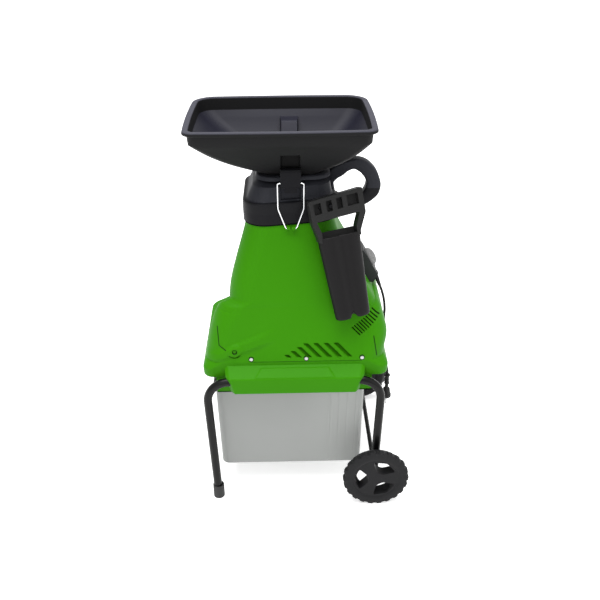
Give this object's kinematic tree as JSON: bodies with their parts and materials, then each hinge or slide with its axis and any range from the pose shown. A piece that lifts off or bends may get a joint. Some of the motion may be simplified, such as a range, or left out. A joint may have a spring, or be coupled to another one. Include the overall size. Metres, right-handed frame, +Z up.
{
  "type": "garden shredder",
  "caption": "Garden shredder: black feed hopper with latches, green trunk with a knife disc, tube frame on wheels, slide-out chip bin, plunger and power lead.",
  "frame": {"origin": "on the floor, under the middle of the machine's box without its lead", "axes": "+Z up, +X to the wheel and handle end, -Y to the near side with the plunger"},
  "size_m": [0.544, 0.512, 1.005],
  "materials": {
    "green_shell": "satin moulded",
    "black_shell": "fine moulded grain",
    "hopper_plastic": "fine moulded grain",
    "deck_steel": "machined",
    "blade_steel": "ground",
    "motor_paint": "satin",
    "tube_paint": "satin powder coat",
    "foot_rubber": "matte",
    "wheel_plastic": "moulded grain",
    "bin_plastic": "milky translucent",
    "bright_wire": "bright",
    "switch_plastic": "satin",
    "knob_plastic": "satin",
    "lead_rubber": "matte"
  },
  "bodies": {
    "root": {"base_housing": "green_shell", "trunk_housing": "green_shell", "collar": "black_shell", "feed_chute": "black_shell", "motor_end_cap": "black_shell", "frame_clamps": "black_shell", "switch_contacts": "black_shell", "bin_interlock": "black_shell", "leg_plugs": "black_shell", "hopper": "hopper_plastic", "deck_plate": "deck_steel", "deck_bolts": "deck_steel", "motor_bolts": "deck_steel", "stator_core": "deck_steel", "lower_bearing": "deck_steel", "upper_bearing": "deck_steel", "clamp_screws": "deck_steel", "axle_spacers": "deck_steel", "axle_caps": "deck_steel", "motor_can": "motor_paint", "near_frame_tube": "tube_paint", "far_frame_tube": "tube_paint", "wheel_axle": "tube_paint", "near_foot_cap": "foot_rubber", "far_foot_cap": "foot_rubber", "housing_screws": "bright_wire", "boss_screws": "bright_wire", "plug_pins": "bright_wire", "switch_box": "switch_plastic", "strain_relief": "lead_rubber", "power_cord": "lead_rubber", "plug_body": "lead_rubber"},
    "near_wheel": {"near_wheel": "wheel_plastic"},
    "far_wheel": {"far_wheel": "wheel_plastic"},
    "bin": {"collection_bin": "bin_plastic"},
    "near_bail": {"near_bail": "bright_wire"},
    "near_lever": {"near_latch_lever": "black_shell"},
    "far_bail": {"far_bail": "bright_wire"},
    "far_lever": {"far_latch_lever": "black_shell"},
    "plunger": {"plunger": "black_shell"},
    "knob": {"switch_knob": "knob_plastic"},
    "cutter": {"rotor_shaft": "deck_steel", "rotor_core": "deck_steel", "cooling_fan": "black_shell", "cutting_disc": "deck_steel", "knife_blades": "blade_steel", "blade_screws": "blade_steel", "disc_nut": "deck_steel"}
  },
  "joints": [
    {"name": "near_wheel_spin", "type": "hinge", "parent": "root", "child": "near_wheel", "pos_m": [0.1845, -0.2385, 0.0875], "axis": [0, 1, 0], "continuous": true},
    {"name": "far_wheel_spin", "type": "hinge", "parent": "root", "child": "far_wheel", "pos_m": [0.1845, 0.2385, 0.0875], "axis": [0, 1, 0], "continuous": true},
    {"name": "bin_slide", "type": "slide", "parent": "root", "child": "bin", "axis": [-1, 0, 0], "range_m": [0, 0.42]},
    {"name": "near_bail_swing", "type": "hinge", "parent": "root", "child": "near_bail", "pos_m": [-0.031, -0.121, 0.757], "axis": [1, 0, 0], "range_deg": [0, 110]},
    {"name": "near_lever_tilt", "type": "hinge", "parent": "near_bail", "child": "near_lever", "pos_m": [-0.031, -0.11, 0.867], "axis": [1, 0, 0], "range_deg": [0, 35]},
    {"name": "far_bail_swing", "type": "hinge", "parent": "root", "child": "far_bail", "pos_m": [-0.031, 0.121, 0.757], "axis": [-1, 0, 0], "range_deg": [0, 110]},
    {"name": "far_lever_tilt", "type": "hinge", "parent": "far_bail", "child": "far_lever", "pos_m": [-0.031, 0.11, 0.867], "axis": [-1, 0, 0], "range_deg": [0, 35]},
    {"name": "plunger_pull", "type": "slide", "parent": "root", "child": "plunger", "axis": [0, -1, 0], "range_m": [0, 0.15]},
    {"name": "knob_turn", "type": "hinge", "parent": "root", "child": "knob", "pos_m": [0.1732, 0, 0.62188], "axis": [0.8651, 0, 0.5015], "range_deg": [0, 90]},
    {"name": "cutter_spin", "type": "hinge", "parent": "root", "child": "cutter", "pos_m": [0.045, 0, 0.45], "axis": [0, 0, 1], "continuous": true}
  ]
}
